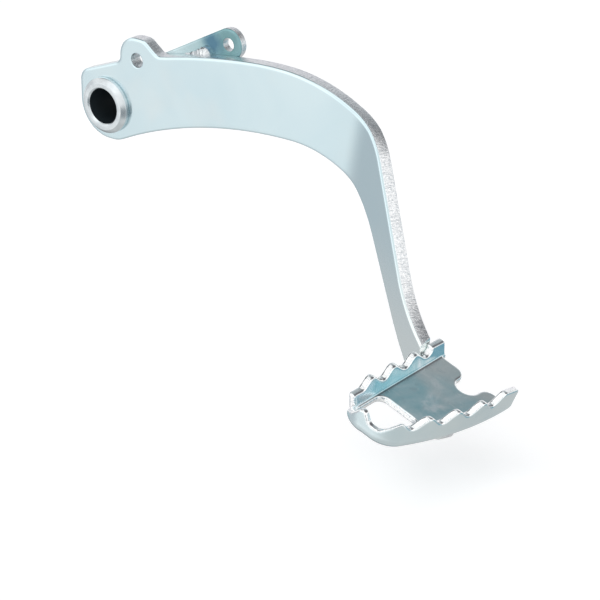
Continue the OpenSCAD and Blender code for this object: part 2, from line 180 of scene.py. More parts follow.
def arm_outline():
    """Hub, lower edge, foot, upper edge and spring lug, anticlockwise."""
    hub = polar((0, 0), HUB_R, np.linspace(math.pi, 1.5 * math.pi, 40))
    long_arc = [(LOW_START[0] - LOW_R * math.sin(rad(a)), LOW_START[1] - LOW_R * (1 - math.cos(rad(a))))
                for a in np.linspace(LOW_SPAN, 0, 140)]
    *lower, toe = walk(LOW_START, 0, LOW_PATH)
    heel = (toe[0] - TOE_W, toe[1] + TOE_UP)
    lower = corner(*HUB_LOW, long_arc[0], HUB_FILLET_R) + long_arc + lower
    lower += corner(lower[-1], toe, heel, TOE_R)
    upper = [TOP_START] + walk(TOP_START, TOP_HEADING, TOP_PATH) + [heel]
    lug = bends(LUG_LINE, LUG_RADII)
    return dense(hub + lower + upper[::-1] + lug[::-1], OUTLINE_STEP)


def raised(points):
    """Points along and across the lever, turned up by its rise."""
    c, s = cos_sin(RISE)
    return [(x * c - z * s, x * s + z * c) for x, z in points]


def lever_outline():
    """A round tip and straight flanks that run into a ring round the sleeve."""
    quarter = math.pi / 2
    root = math.acos(ROOT_R / RING_R)
    tip = polar((REACH, 0), TIP_R, np.linspace(-(quarter - TAPER), quarter - TAPER, 48))
    ring = polar((0, 0), RING_R, np.linspace(quarter - TAPER - root, 3 * quarter + TAPER + root, 90))
    return dense(raised(tip + ring), OUTLINE_STEP)


# ---- where a plate's point lies, from its x and z and its depth behind the outer face ----
def arm_place(x, z, depth):
    c, s = cos_sin(LEAN)
    dx, dz = x - BEND_X, z - BEND_Z
    u, w = c * dx - s * dz, s * dx + c * dz
    a = np.clip(rad(BEND_A) * (u + BEND_HALF) / (2 * BEND_HALF), 0, rad(BEND_A))
    r = BEND_R + depth
    over = np.maximum(u - BEND_HALF, 0)
    before = np.minimum(u + BEND_HALF, 0)
    px = -BEND_HALF + r * np.sin(a) + over * np.cos(a) + before
    y = Y_FACE - BEND_R + r * np.cos(a) - over * np.sin(a)
    return np.stack([BEND_X + px * c + w * s, y, BEND_Z - px * s + w * c], -1) * MM


def lever_place(x, z, depth):
    return np.stack([x, Y_BACK + depth, z], -1) * MM


def from_pad(p, q, h):
    """Pad coordinates (forward along the floor, along y, and up from the floor) to metres."""
    c, s = cos_sin(PITCH)
    return ((PAD_X + p * c + h * s) * MM, q * MM, (PAD_Z - p * s + h * c) * MM)


# ---- meshes ----
MERGE, SLIVER = 1e-6, 0.001             # distance and doubled area, in mm and mm2
LEAST_GAP2, LEAST_GAP2_BEND = 0.5, 0.25  # squared distance of grid points from the rim
BEND_REACH, BEND_ROW = 60, 3.0          # the finer grid along the bend's line
FLAT_RIM = 0.7                          # the front face's outermost strip


def add_object(name, verts, faces, mats=(), uvs=None, slots=None, smooth=True):
    mesh = bpy.data.meshes.new(name)
    for m in mats:
        mesh.materials.append(m)
    mesh.from_pydata([tuple(v) for v in verts], [], [tuple(f) for f in faces])
    if uvs is not None:
        layer = mesh.uv_layers.new(name="grain")
        layer.data.foreach_set("uv", np.array([uvs[i] for f in faces for i in f], np.float32).ravel())
    if slots is not None:
        mesh.polygons.foreach_set("material_index", np.array(slots, np.int32))
    mesh.polygons.foreach_set("use_smooth", np.full(len(faces), smooth))
    obj = bpy.data.objects.new(name, mesh)
    bpy.context.scene.collection.objects.link(obj)
    return obj


def fix_sides(obj):
    """Turn the faces of a closed mesh outward."""
    bm = bmesh.new()
    bm.from_mesh(obj.data)
    bmesh.ops.recalc_face_normals(bm, faces=bm.faces)
    bm.to_mesh(obj.data)
    bm.free()


def cut_away(obj, cutter):
    """Take the cutter's volume from the object, and remove the cutter."""
    m = obj.modifiers.new("cut", "BOOLEAN")
    m.object, m.operation, m.solver = cutter, "DIFFERENCE", "EXACT"
    deps = bpy.context.evaluated_depsgraph_get()
    mesh = bpy.data.meshes.new_from_object(obj.evaluated_get(deps), depsgraph=deps)
    obj.modifiers.clear()
    old = obj.data
    obj.data = mesh
    bpy.data.meshes.remove(old)
    bpy.data.objects.remove(cutter)


def prism(name, points, y_low, y_high):
    """A prism along y over an outline in x and z."""
    n = len(points)
    verts = [(x * MM, y * MM, z * MM) for y in (y_low, y_high) for x, z in points]
    faces = [list(range(n))[::-1], list(range(n, 2 * n))]
    faces += [[i, (i + 1) % n, n + (i + 1) % n, n + i] for i in range(n)]
    obj = add_object(name, verts, faces, smooth=False)
    fix_sides(obj)
    return obj


def inward(loop):
    """Unit inward normals, scaled for the mitre, of a closed loop that runs anticlockwise."""
    p = np.array(loop)
    d = np.roll(p, -1, 0) - p
    d /= np.linalg.norm(d, axis=1)[:, None]
    n = np.stack([-d[:, 1], d[:, 0]], 1)
    m = n + np.roll(n, 1, 0)
    m /= np.linalg.norm(m, axis=1)[:, None]
    return m / np.maximum((m * n).sum(1), 0.4)[:, None]


def inside(p, loop):
    x, y = p[:, 0], p[:, 1]
    hit = np.zeros(len(p), bool)
    q = np.array(loop)
    for (x0, y0), (x1, y1) in zip(q, np.roll(q, -1, 0)):
        if y0 != y1:
            hit ^= ((y0 > y) != (y1 > y)) & (x < (x1 - x0) * (y - y0) / (y1 - y0) + x0)
    return hit


def grid_points(loops, step, band=None, fine=None):
    """Points inside loops[0] and outside the others, closer together within band of the bend's line."""
    lo, hi = loops[0].min(0), loops[0].max(0)
    g = np.array([(x, z) for x in np.arange(lo[0], hi[0], step) for z in np.arange(lo[1], hi[1], step)])
    if band is not None:
        c, s = cos_sin(LEAN)
        u = c * (g[:, 0] - BEND_X) - s * (g[:, 1] - BEND_Z)
        across, along = np.arange(-band, band + 0.01, fine), np.arange(-BEND_REACH, BEND_REACH, BEND_ROW)
        rows = np.array([(BEND_X + a * c + b * s, BEND_Z - a * s + b * c) for a in across for b in along])
        g = np.concatenate([g[np.abs(u) > band + 1], rows])
    keep = inside(g, loops[0])
    for hole in loops[1:]:
        keep &= ~inside(g, hole)
    g = g[keep]
    rim = np.concatenate(loops)
    near = np.array([np.min(((rim - p) ** 2).sum(1)) for p in g])
    return g[near > (LEAST_GAP2 if band is None else LEAST_GAP2_BEND)]


def fill(loops, ids, grid, extra):
    """Triangles of the region inside loops[0] and outside the others, with the grid points added.

    ids: the mesh's vertex numbers of each loop's points; extra(point) makes a vertex for another.
    """
    points, edges, index = [], [], []
    for loop, idx in zip(loops, ids):
        base, n = len(points), len(loop)
        points += [tuple(p) for p in loop]
        index += list(idx)
        edges += [(base + i, base + (i + 1) % n) for i in range(n)]
    fixed = len(points)
    points += [tuple(g) for g in grid]
    verts, _, tris, orig, _, _ = delaunay_2d_cdt([Vector(p) for p in points], edges, [], 0, MERGE, True)
    co = np.array([tuple(v) for v in verts])
    new = {o: i for i, src in enumerate(orig) for o in src}
    rim = {frozenset((new[i], new[j])) for i, j in edges}
    beside = {}
    for k, t in enumerate(tris):
        for i in range(3):
            beside.setdefault(frozenset((t[i], t[i - 1])), []).append(k)
    # triangles that no rim edge parts form a group, and each group is kept or left out as a whole
    grouped, groups = [False] * len(tris), []
    for k in range(len(tris)):
        if grouped[k]:
            continue
        grouped[k], queue = True, [k]
        for m in queue:
            t = tris[m]
            for i, j in ((0, 1), (1, 2), (2, 0)):
                e = frozenset((t[i], t[j]))
                if e in rim:
                    continue
                for n in beside[e]:
                    if not grouped[n]:
                        grouped[n] = True
                        queue.append(n)
        groups.append(queue)
    names, out = {}, []
    for queue in groups:
        corners = co[[list(tris[k]) for k in queue]]
        d1, d2 = corners[:, 1] - corners[:, 0], corners[:, 2] - corners[:, 0]
        area = np.abs(d1[:, 0] * d2[:, 1] - d1[:, 1] * d2[:, 0])
        mid = corners[np.argmax(area)].mean(0)[None]
        in_hole = any(inside(mid, hole)[0] for hole in loops[1:])
        if area.max() < SLIVER or in_hole or not inside(mid, loops[0])[0]:
            continue
        for k in queue:
            face = []
            for v in tris[k]:
                if v not in names:
                    src = [o for o in orig[v] if o < fixed]
                    names[v] = index[src[0]] if src else extra(co[v])
                face.append(names[v])
            out.append(face)
    return out


def plate(name, outline, holes, thick, place, roll, grid, mats):
    """A stamped plate with a rolled front edge, a cut side and an eased back edge.

    holes: each loop with the share of the outline's roll that it gets; roll: how far in and how deep
    the front edge is rolled; grid: what grid_points takes. Slots: 0 broad sides, 1 cut side.
    """
    angles = np.radians([15, 30, 45, 60, 75, 90])
    rolls = [(roll[0] * (1 - math.sin(a)), roll[1] * (1 - math.cos(a))) for a in angles]
    # inset and depth of each ring of points, from the front face round the edge to the back
    section = [(roll[0] + FLAT_RIM, 0), (roll[0], 0)] + rolls
    cut_side = range(len(section) - 1, len(section) + 2)
    section += [(0.0, thick * 0.45), (0.05, thick - 0.35), (0.09, thick - 0.15), (0.3, thick), (0.8, thick)]
    verts, uvs, faces, slots = [], [], [], []
    front_loops, back_loops = [], []
    for k, (loop, share) in enumerate([(outline, 1.0)] + holes):
        p = np.array(loop)
        n = inward(loop) * (1 if k == 0 else -1)
        length = np.concatenate([[0], np.cumsum(np.linalg.norm(np.diff(p, axis=0), axis=1))])
        count = len(p)
        rings = []
        for inset, depth in section:
            inset *= share
            if depth < thick / 2:
                depth *= share
            q = p + n * inset
            rings.append(list(range(len(verts), len(verts) + count)))
            verts += list(place(q[:, 0], q[:, 1], np.full(count, depth)))
            uvs += [(u * MM, (depth + inset) * MM) for u in length]
        for r, (ring, following) in enumerate(zip(rings, rings[1:])):
            for i in range(count):
                j = (i + 1) % count
                a, b, c, d = ring[i], ring[j], following[j], following[i]
                faces.append([a, d, c, b] if k == 0 else [a, b, c, d])
                slots.append(1 if r in cut_side else 0)
        front_loops.append((p + n * section[0][0] * share, rings[0]))
        back_loops.append((p + n * section[-1][0] * share, rings[-1]))
    for rims, depth, flip in ((front_loops, 0.0, False), (back_loops, thick, True)):
        loops, ids = [q for q, _ in rims], [i for _, i in rims]

        def extra(c, depth=depth):
            verts.append(place(np.array([c[0]]), np.array([c[1]]), np.array([depth]))[0])
            uvs.append((c[0] * MM, c[1] * MM))
            return len(verts) - 1

        for t in fill(loops, ids, grid_points(loops, *grid), extra):
            faces.append(t[::-1] if flip else t)
            slots.append(0)
    obj = add_object(name, verts, faces, mats, uvs, slots)
    fix_sides(obj)
    return obj


# ---- materials ----
class Nodes:
    """Short calls that make shader nodes in the tree of a material or world."""

    def __init__(self, owner, output="ShaderNodeOutputMaterial"):
        owner.use_nodes = True
        self.owner, self.tree = owner, owner.node_tree
        self.tree.nodes.clear()
        self.out = self.tree.nodes.new(output)

    def put(self, socket, value):
        """Link a socket to another's output, or set its own value."""
        if isinstance(value, bpy.types.NodeSocket):
            self.tree.links.new(value, socket)
        else:
            socket.default_value = value

    def add(self, kind, inputs=None, **settings):
        node = self.tree.nodes.new(kind)
        for key, value in settings.items():
            setattr(node, key, value)
        for key, value in (inputs or {}).items():
            self.put(node.inputs[key], value)
        return node

    def position(self):
        return self.add("ShaderNodeTexCoord").outputs["Object"]

    def normal(self):
        return self.add("ShaderNodeNewGeometry").outputs["Normal"]

    def parts(self, vector):
        """The x, y and z of a vector."""
        return self.add("ShaderNodeSeparateXYZ", {0: vector}).outputs

    def attribute(self, name):
        return self.add("ShaderNodeAttribute", attribute_name=name).outputs["Fac"]

    def noise(self, vector, scale, detail=2.0, rough=0.5, warp=0.0):
        inputs = {"Vector": vector, "Scale": scale, "Detail": detail, "Roughness": rough, "Distortion": warp}
        return self.add("ShaderNodeTexNoise", inputs).outputs[0]

    def stretched(self, vector, scale, detail, rough):
        """Noise of a different scale along each axis."""
        mapped = self.add("ShaderNodeMapping", {"Vector": vector, "Scale": scale}).outputs[0]
        return self.noise(mapped, 1.0, detail, rough)

    def ramp(self, value, stops):
        node = self.add("ShaderNodeValToRGB", {"Fac": value})
        elements = node.color_ramp.elements
        while len(elements) < len(stops):
            elements.new(0.5)
        for element, (position, color) in zip(elements, stops):
            element.position, element.color = position, (*color, 1)
        return node.outputs[0]

    def span(self, value, a, b, c, d, **settings):
        """The value from a to b, brought to c to d and kept there."""
        return self.add("ShaderNodeMapRange", {0: value, 1: a, 2: b, 3: c, 4: d}, **settings).outputs[0]

    def mix(self, fac, a, b):
        """A colour from a to b, each three numbers or an output."""
        a, b = ((*v, 1) if isinstance(v, tuple) else v for v in (a, b))
        return self.add("ShaderNodeMix", {0: fac, 6: a, 7: b}, data_type="RGBA").outputs[2]

    def math(self, op, a, b=0.0):
        return self.add("ShaderNodeMath", {0: a, 1: b}, operation=op).outputs[0]

    def times(self, a, b):
        return self.math("MULTIPLY", a, b)

    def plus(self, a, b):
        return self.math("ADD", a, b)

    def finish(self, color, rough, height, strength, distance, **fixed):
        """Metal with a bump of the height; distance in metres."""
        bump = self.add("ShaderNodeBump", {"Height": height, "Strength": strength, "Distance": distance})
        inputs = {"Base Color": color, "Roughness": rough, "Metallic": 1.0, "Normal": bump.outputs[0]}
        shader = self.add("ShaderNodeBsdfPrincipled", {**inputs, **fixed})
        self.tree.links.new(shader.outputs[0], self.out.inputs[0])
        return self.owner


def material(name):
    return Nodes(bpy.data.materials.new(name))


# plating colours
ZINC, ZINC_DEEP, ZINC_WARM = (0.70, 0.83, 0.865), (0.60, 0.76, 0.82), (0.76, 0.81, 0.81)
# painted shade on the arm's leg past the bend, and a paler tone towards the foot
LEG_PAINTED_SHADE, FOOT_PALE = (0.60, 0.74, 0.78), (0.84, 0.89, 0.87)
# painted shade on the lever's front face, from dark round the pin hole to plain, and a dark blue patch; then
# its plain back
LEVER_FACE_SHADE = [(0.08, (0.20, 0.36, 0.38)), (0.20, (0.26, 0.44, 0.47)),
              (0.42, (0.46, 0.62, 0.65)), (0.75, (0.62, 0.76, 0.78))]
LEVER_SHADE_BLUE, LEVER_BACK, LEVER_BACK_PALE = (0.09, 0.20, 0.30), (0.62, 0.76, 0.78), (0.70, 0.82, 0.85)
PAD_CLOUDS = [(0.34, (0.44, 0.70, 0.76)), (0.47, (0.58, 0.78, 0.83)),
              (0.58, (0.84, 0.94, 0.98)), (0.68, (0.56, 0.76, 0.86))]
# first painted light for the pad's floor, then its spots and scratches
PAD_PAINTED_LIGHT, PAD_SPOT, PAD_SCRATCH = (0.80, 0.80, 0.79), (0.46, 0.58, 0.62), (0.97, 0.98, 0.98)
PAD_OUTER, PAD_OUTER_DEEP = (0.76, 0.86, 0.87), (0.70, 0.82, 0.85)
CUT_BRIGHT, CUT_STREAK = (0.97, 0.98, 0.98), (0.70, 0.75, 0.78)
# bare and welded steel
SHEAR_BRIGHT, SHEAR_SPECK = (0.94, 0.955, 0.965), (0.62, 0.66, 0.69)
SHEAR_STREAK, SHEAR_BLOTCH = (0.42, 0.46, 0.49), (0.56, 0.60, 0.63)
TURNED, TURNED_DULL = (0.78, 0.83, 0.85), (0.58, 0.64, 0.67)
# painted shade for the inside of the sleeve
BORE_SHADE_DEEP, BORE_SHADE_SOFT = (0.010, 0.016, 0.020), (0.022, 0.032, 0.038)
WELD_BRIGHT, WELD_GREY, WELD_SOOT = (0.90, 0.93, 0.94), (0.56, 0.60, 0.63), (0.05, 0.055, 0.06)
# middles, in the side view in mm, of the lever's painted shade round its pin hole and of its painted dark
# blue patch
PIN_SHADE_MIDDLE, BLUE_SHADE_MIDDLE = (68.7, 41.9), (59.6, 40.6)


def flat_distance(m, at, centre):
    """Distance in the side view from a point, in metres."""
    side = m.add("ShaderNodeVectorMath", {0: at, 1: (1, 0, 1)}, operation="MULTIPLY").outputs[0]
    point = (centre[0] * MM, 0, centre[1] * MM)
    return m.add("ShaderNodeVectorMath", {0: side, 1: point}, operation="DISTANCE").outputs["Value"]


def arm_zinc(name, rough=0.18):
    """Bright zinc plate over rolled steel: soft clouds of blue and grey, a fine rolled grain; painted shade
    on the leg past the bend, and paler towards the foot.
    """
    m = material(name)
    at = m.position()
    x, _, z = m.parts(at)
    cloud = m.noise(at, 22, 3, 0.55, warp=0.6)
    warm = m.noise(at, 47)
    grain = m.noise(at, 1400, 3, 0.6)
    waves = m.noise(at, 60)
    color = m.mix(m.span(cloud, 0.35, 0.7, 0.0, 0.5), ZINC, ZINC_DEEP)
    color = m.mix(m.span(warm, 0.5, 0.75, 0.0, 0.3), color, ZINC_WARM)
    # painted shade: the leg past the bend darker and tealer; then paler towards the foot
    color = m.mix(m.span(x, 0.126, 0.150, 0.0, 0.45), color, LEG_PAINTED_SHADE)
    color = m.mix(m.span(z, -0.015, -0.060, 0.0, 0.9), color, FOOT_PALE)
    gloss = m.plus(m.span(cloud, 0.3, 0.7, rough - 0.03, rough + 0.04), m.span(grain, 0.3, 0.7, -0.02, 0.02))
    return m.finish(color, gloss, m.plus(m.times(grain, 0.02), waves), 0.25, 0.0002)


def lever_zinc(name):
    """Painted shade on the front face: darker and tealer round the pin hole, with a dark blue patch behind
    it; plain zinc from behind.
    """
    m = material(name)
    at = m.position()
    cloud = m.noise(at, 110, 3, 0.5, warp=0.5)
    # painted shade: darkest round the pin hole, with a dark blue patch beside it
    ring = m.plus(flat_distance(m, at, PIN_SHADE_MIDDLE), m.span(cloud, 0.3, 0.7, -0.003, 0.003))
    patch = m.plus(flat_distance(m, at, BLUE_SHADE_MIDDLE), m.span(cloud, 0.3, 0.7, -0.0015, 0.0015))
    color = m.ramp(m.span(ring, 0.0, 0.05, 0.0, 1.0), LEVER_FACE_SHADE)
    color = m.mix(m.span(patch, 0.002, 0.0075, 0.85, 0.0), color, LEVER_SHADE_BLUE)
    back = m.mix(m.span(cloud, 0.35, 0.65, 0, 1), LEVER_BACK, LEVER_BACK_PALE)
    inboard = m.parts(m.normal())[1]
    color = m.mix(m.span(inboard, -0.2, 0.4, 0, 1), color, back)
    return m.finish(color, m.span(cloud, 0.3, 0.7, 0.16, 0.22), m.noise(at, 60), 0.25, 0.0002)


def sheared(name):
    """The cut side of a plate: bright torn metal with darker specks, fine streaks and blotches."""
    m = material(name)
    uv = m.add("ShaderNodeUVMap", uv_map="grain").outputs[0]
    streak = m.stretched(uv, (2200, 160, 1), 3, 0.6)
    speck = m.stretched(uv, (1300, 900, 1), 4, 0.7)
    blotch = m.stretched(uv, (300, 420, 1), 3, 0.6)
    color = m.mix(m.span(speck, 0.46, 0.62, 0, 1), SHEAR_BRIGHT, SHEAR_SPECK)
    color = m.mix(m.span(streak, 0.52, 0.66, 0, 0.55), color, SHEAR_STREAK)
    color = m.mix(m.span(blotch, 0.56, 0.70, 0, 0.5), color, SHEAR_BLOTCH)
    height = m.plus(m.times(streak, 0.9), speck)
    return m.finish(color, m.span(speck, 0.3, 0.7, 0.22, 0.36), height, 0.55, 0.0003)


def pad_zinc(name):
    """Plated sheet: cloudy teal, blue and grey, bright and streaked at the cut edges; painted light greys the
    floor towards its inboard end.
    """
    m = material(name)
    at = m.position()
    cut, outer = m.attribute("cut"), m.attribute("outer")
    floor = m.span(m.parts(m.normal())[2], 0.4, 0.8, 0, 1)
    cloud = m.noise(at, 42, 3, 0.55, warp=0.9)
    # painted light: greyer on the floor's upward faces towards the inboard end, broken up by random tone
    grey_tone_and_light = m.plus(m.span(m.noise(at, 40, warp=0.4), 0.3, 0.7, -0.35, 0.35),
                     m.span(m.parts(at)[1], -0.062, -0.030, 0.0, 0.75))
    spot = m.noise(at, 190, 3, 0.6)
    scratch = m.stretched(at, (260, 3400, 260), 1, 0.5)
    streak = m.stretched(at, (900, 2600, 900), 3, 0.6)
    color = m.ramp(cloud, PAD_CLOUDS)
    color = m.mix(m.times(m.span(grey_tone_and_light, 0.1, 0.8, 0.0, 0.85), floor), color, PAD_PAINTED_LIGHT)
    color = m.mix(m.span(spot, 0.58, 0.72, 0.0, 0.4), color, PAD_SPOT)
    color = m.mix(m.span(scratch, 0.66, 0.70, 0.0, 0.5), color, PAD_SCRATCH)
    color = m.mix(outer, color, m.mix(m.span(cloud, 0.35, 0.65, 0, 1), PAD_OUTER, PAD_OUTER_DEEP))
    color = m.mix(cut, color, m.mix(m.span(streak, 0.50, 0.64, 0, 1), CUT_BRIGHT, CUT_STREAK))
    clouded = m.span(cloud, 0.3, 0.7, 0.16, 0.24)
    gloss = m.add("ShaderNodeMix", {0: cut, 2: clouded, 3: 0.13}, data_type="FLOAT")
    height = m.plus(m.times(m.noise(at, 80, 3, 0.55), 0.8), m.times(m.times(streak, cut), 0.12))
    return m.finish(color, gloss.outputs[0], height, 0.30, 0.0003)


def turned(name):
    """Fine rings left by the lathe."""
    m = material(name)
    at = m.position()
    x, y, z = m.parts(at)
    radius = m.math("SQRT", m.plus(m.times(x, x), m.times(z, z)))
    rings = m.noise(m.add("ShaderNodeCombineXYZ", {0: radius, 1: y, 2: 0.0}).outputs[0], 4200)
    cloud = m.noise(at, 160, 3, 0.6)
    color = m.mix(m.span(cloud, 0.35, 0.7, 0, 0.8), TURNED, TURNED_DULL)
    height = m.plus(rings, m.times(cloud, 1.5))
    return m.finish(color, m.span(cloud, 0.3, 0.7, 0.2, 0.3), height, 0.25, 0.0001)


def bore(name):
    """The inside of the sleeve, painted near black as shade, and dull."""
    m = material(name)
    n = m.noise(m.position(), 300, 3, 0.6)
    color = m.mix(n, BORE_SHADE_DEEP, BORE_SHADE_SOFT)
    dull = {"Metallic": 0.0, "Specular IOR Level": 0.2}
    return m.finish(color, m.span(n, 0.3, 0.7, 0.45, 0.6), n, 0.1, 0.0001, **dull)


def welded(name):
    """Bright weld metal with specks of soot."""
    m = material(name)
    at = m.position()
    n = m.noise(at, 700, 4, 0.6)
    soot = m.noise(at, 330, 3, 0.6, warp=0.5)
    color = m.mix(m.span(n, 0.35, 0.7, 0, 1), WELD_BRIGHT, WELD_GREY)
    color = m.mix(m.span(soot, 0.56, 0.63, 0, 0.9), color, WELD_SOOT)
    return m.finish(color, m.span(n, 0.3, 0.7, 0.14, 0.26), n, 0.5, 0.0004)


M_ZINC = arm_zinc("zinc_plate")
M_LEVER = lever_zinc("zinc_lever")
M_PAD = pad_zinc("zinc_sheet")
M_EDGE = sheared("sheared_edge")
M_TURN = turned("turned_steel")
M_BORE_SHADE = bore("bore_painted_shade")
M_WELD = welded("weld_metal")


def dress(obj):
    """A piece's body: it goes under the root."""
    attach(obj, "root")


# ---- arm and lever ----
ARM_ROLL, LEVER_ROLL, PIVOT_SHARE, HOLE_SHARE = (1.5, 0.85), (1.1, 0.6), 0.3, 0.35
PIVOT_HOLE = (circle((0, 0), BODY_R + PIVOT_FIT, 96), PIVOT_SHARE)
GRID_STEP, BEND_GRID = 5.0, (BEND_HALF + 1, 1.2)
SEAT_REACH, SEAT_TOP, SEAT_OUT = 110, 60, -130


def pad_seat():
    """What the foot leaves free: above the underside of the pad's floor, ahead of its flange's back."""
    c, s = cos_sin(PITCH)
    back, under = PAD_X - PAD_T, -PAD_T
    start = ((back - PAD_X) - under * s) / c
    low = [(PAD_X + p * c + under * s, PAD_Z - p * s + under * c) for p in (start, SEAT_REACH)]
    return low + [(low[1][0], SEAT_TOP), (back, SEAT_TOP)]


arm = plate("arm_plate", arm_outline(), [PIVOT_HOLE, (circle(LUG_HOLE, LUG_HOLE_R, 64), HOLE_SHARE)],
            ARM_T, arm_place, ARM_ROLL, (GRID_STEP, *BEND_GRID), (M_ZINC, M_EDGE))
cut_away(arm, prism("seat", pad_seat(), SEAT_OUT, 0))
dress(arm)
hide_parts("pedal_arm")

pin = raised([(REACH, 0)])[0]
lever = plate("lever_plate", lever_outline(), [PIVOT_HOLE, (circle(pin, PIN_R, 64), HOLE_SHARE)],
              LEVER_T, lever_place, LEVER_ROLL, (GRID_STEP,), (M_LEVER, M_EDGE))
dress(lever)
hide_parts("push_rod_lever")

# ---- turned sleeve ----
CHAMFER, EASE, EASE_R = 2, 0.8, 0.3
SLEEVE = [  # radius, y and rounding of each corner of its section
    (BORE_R + EASE, Y_OUT, EASE_R), (FLANGE_R - CHAMFER, Y_OUT, 0.4), (FLANGE_R, Y_OUT + CHAMFER, 0.5),
    (FLANGE_R, Y_FACE - 0.5, 0.1), (FLANGE_R - 0.6, Y_FACE, 0.1), (BODY_R, Y_FACE, 0),
    (BODY_R, Y_IN - EASE, EASE_R), (BODY_R - EASE, Y_IN, EASE_R), (BORE_R + EASE, Y_IN, EASE_R),
    (BORE_R, Y_IN - EASE, EASE_R), (BORE_R, Y_OUT + EASE, EASE_R)]


def lathe(name, profile, bore_r, mats, segments=128):
    """A closed section of (radius, y) turned about y. Slots: 0 outside, 1 the bore."""
    verts, faces, slots = [], [], []
    n = len(profile)
    for i in range(segments):
        a = 2 * math.pi * i / segments
        verts += [(r * math.cos(a) * MM, y * MM, r * math.sin(a) * MM) for r, y in profile]
    for i in range(segments):
        j = (i + 1) % segments
        for k in range(n):
            m = (k + 1) % n
            faces.append([i * n + k, i * n + m, j * n + m, j * n + k])
            slots.append(1 if max(profile[k][0], profile[m][0]) < bore_r + 0.05 else 0)
    obj = add_object(name, verts, faces, mats, slots=slots)
    fix_sides(obj)
    return obj


section = rounded([(r, y) for r, y, _ in SLEEVE], [radius for _, _, radius in SLEEVE])
sleeve = lathe("turned_sleeve", section, BORE_R, (M_TURN, M_BORE_SHADE))
dress(sleeve)
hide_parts("pivot_sleeve")


# ---- toe pad: one folded sheet, built as a level set so its edges and folds are rounded ----
STEP, EDGE_R = 0.42, 0.85
GRID_P, GRID_Q, GRID_H = (-9.2, 42.5), (-101.4, -21.5), (-5.0, 17)
# well outside the pad, for the outlines: ahead, behind, beyond its closed and open ends, up and down
AHEAD, BEHIND, WALL_BEHIND, BEYOND, OPEN_END, UP, DOWN = 60, -40, -60, -130, 12, 40, -20
# where the lip's outline stops cutting, near the floor and above it, and where the flange's does
LIP_LOW_P, LIP_P, LOW_H, FLANGE_P = DEPTH - 6.5, 14, 2, 12
LIP_TIP_R, LIP_FOOT_R, LIP_TEETH_END, LIP_FOOT_W = 2.2, 4.6, 2.6, 30
FLANGE_HEEL, FLANGE_FRONT, FRONT_SET = 0.4, 0.6, 0.7
# the lip's slope at the open end, how many pitches of teeth the flange has, and its level end
LIP_SLOPE, REAR_TEETH, REAR_LEVEL, REAR_MID_ENDS = 0.2, 3.5, 0.4, (4, 6)
WALL_COS = 0.07                         # between the leaning walls and the floor
WINDOW_EDGE_R = EDGE_R * 0.8
CUT_REACH, SKIN_REACH = 1.15, 1.6       # where the marks of a cut edge and of the outside begin
OUTSIDE = -1


def round_min(a, b, r, c=0.0):
    """Depth inside two faces that meet in a fillet of radius r; c is their normals' cosine."""
    u, v = r - a, r - b
    k = 1 - c * c
    both = (u - c * v > 0) & (v - c * u > 0)
    return np.where(both, r - np.sqrt(np.maximum(u * u + v * v - 2 * c * u * v, 0) / k), np.minimum(a, b))


def either(a, b, k=0.8):
    """Union of two depths with a soft seam."""
    w = np.clip(0.5 + 0.5 * (a - b) / k, 0, 1)
    return b + (a - b) * w + k * w * (1 - w)


def depth_in(loop, x, y):
    """Signed distance to a closed outline, positive inside, on the grid of x by y."""
    gx, gy = np.meshgrid(x, y, indexing="ij")
    best = np.full(gx.shape, 1e9)
    hit = np.zeros(gx.shape, bool)
    for (x0, y0), (x1, y1) in zip(loop, loop[1:] + loop[:1]):
        dx, dy = x1 - x0, y1 - y0
        if dx * dx + dy * dy < 1e-12:
            continue
        t = np.clip(((gx - x0) * dx + (gy - y0) * dy) / (dx * dx + dy * dy), 0, 1)
        best = np.minimum(best, (gx - x0 - t * dx) ** 2 + (gy - y0 - t * dy) ** 2)
        if y0 != y1:
            hit ^= ((y0 > gy) != (y1 > gy)) & (gx < dx * (gy - y0) / (y1 - y0) + x0)
    return np.where(hit, 1, -1) * np.sqrt(best)


def surface(f, lo, step):
    """Closed quad mesh of the zero level, vertices moved onto it."""
    cells = tuple(n - 1 for n in f.shape)
    total, count, cut = np.zeros(cells + (3,)), np.zeros(cells), []
    for a in range(3):
        s0, s1 = [slice(None)] * 3, [slice(None)] * 3
        s0[a], s1[a] = slice(0, -1), slice(1, None)
        f0, f1 = f[tuple(s0)], f[tuple(s1)]
        cross = (f0 > 0) != (f1 > 0)
        idx = np.argwhere(cross)
        at = idx.astype(float)
        at[:, a] += f0[cross] / (f0[cross] - f1[cross])
        b, c = (a + 1) % 3, (a + 2) % 3
        ring = []
        for db, dc in ((0, 0), (1, 0), (1, 1), (0, 1)):
            cell = idx.copy()
            cell[:, b] -= db
            cell[:, c] -= dc
            ring.append(cell)
            np.add.at(total, tuple(cell.T), at)
            np.add.at(count, tuple(cell.T), 1)
        cut.append((ring, f0[cross] > 0))
    used = count > 0
    index = np.full(cells, -1)
    index[used] = np.arange(used.sum())
    v = total[used] / count[used][:, None]
    faces = []
    for ring, up in cut:
        quad = np.stack([index[tuple(c.T)] for c in ring], 1)
        quad[~up] = quad[~up][:, ::-1]
        faces.append(quad)
    slope = np.gradient(f)
    for _ in range(3):
        i = np.clip(np.floor(v).astype(int), 0, np.array(f.shape) - 2)
        w = v - i
        value, grad = np.zeros(len(v)), np.zeros((len(v), 3))
        for o in range(8):
            d = np.array([o & 1, o >> 1 & 1, o >> 2 & 1])
            k = np.prod(np.where(d, w, 1 - w), 1)
            n = tuple((i + d).T)
            value += k * f[n]
            grad += k[:, None] * np.stack([g[n] for g in slope], 1)
        v = v - np.clip(value / np.maximum((grad ** 2).sum(1), 1e-3), -0.5, 0.5)[:, None] * grad
    return np.array(lo) + step * v, np.concatenate(faces)


